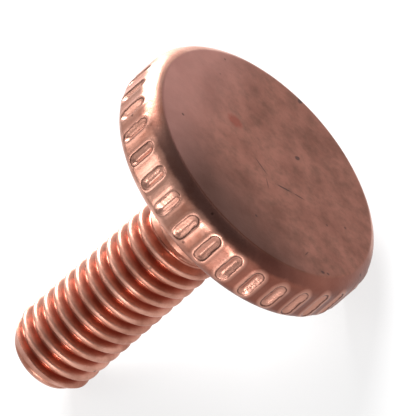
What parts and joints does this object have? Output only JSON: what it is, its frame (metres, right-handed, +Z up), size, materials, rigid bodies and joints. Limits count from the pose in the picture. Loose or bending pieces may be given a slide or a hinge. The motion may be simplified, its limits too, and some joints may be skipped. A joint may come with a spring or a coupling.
{
  "type": "thumb screw",
  "caption": "Thumb screw in one piece of copper: a flat disc head, notched around its rim for grip, on a right-hand threaded shank.",
  "frame": {"origin": "on the surface that the screw lies on, under the middle of its bounding box", "axes": "+Z up; +X horizontal, the way the screw's axis points from tip to head, which rises about 20 degrees"},
  "size_m": [0.0238, 0.0186, 0.0181],
  "materials": {
    "copper": "tarnished, with worn bright edges"
  },
  "bodies": {
    "root": {"thumb_screw": "copper"}
  },
  "joints": []
}
